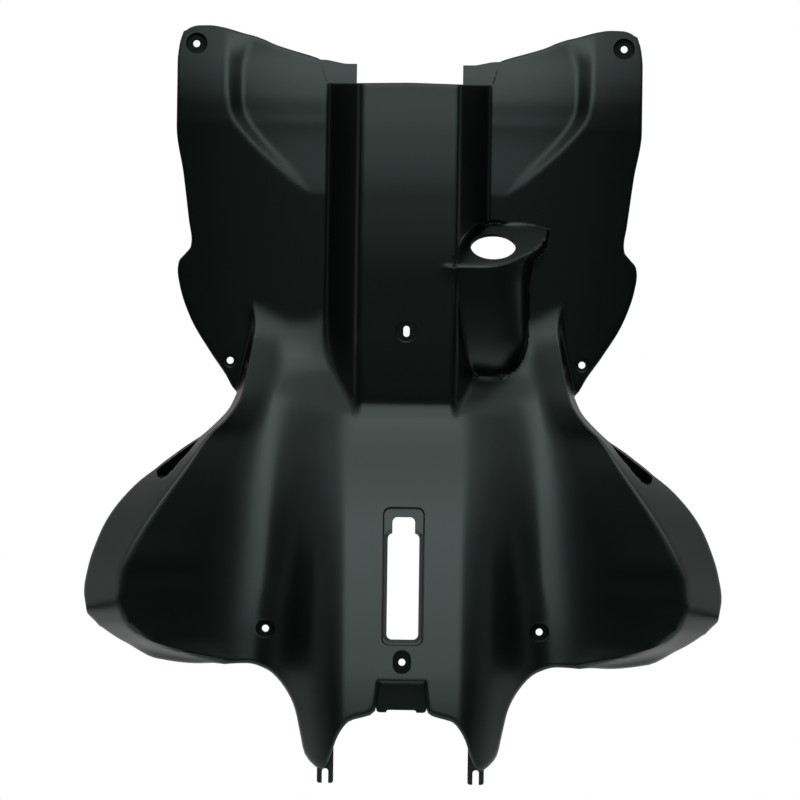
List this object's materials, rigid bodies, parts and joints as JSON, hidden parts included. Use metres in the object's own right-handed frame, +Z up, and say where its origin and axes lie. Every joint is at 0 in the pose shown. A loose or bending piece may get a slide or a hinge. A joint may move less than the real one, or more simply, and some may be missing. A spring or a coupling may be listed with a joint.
{
  "type": "scooter leg shield",
  "caption": "Inner leg shield moulding for a scooter, with ears, steering column cover, lock recess, centre tunnel and side wings.",
  "frame": {"origin": "midway between the two ear screw holes, on the seats that the screw heads press on", "axes": "+Z up along the steering column cover, +X to the rider's right, -Y towards the rider"},
  "size_m": [0.508, 0.1865, 0.6022],
  "materials": {
    "black_plastic": "satin black moulded plastic with a fine grain"
  },
  "bodies": {
    "root": {"leg_shield": "black_plastic"}
  },
  "joints": []
}
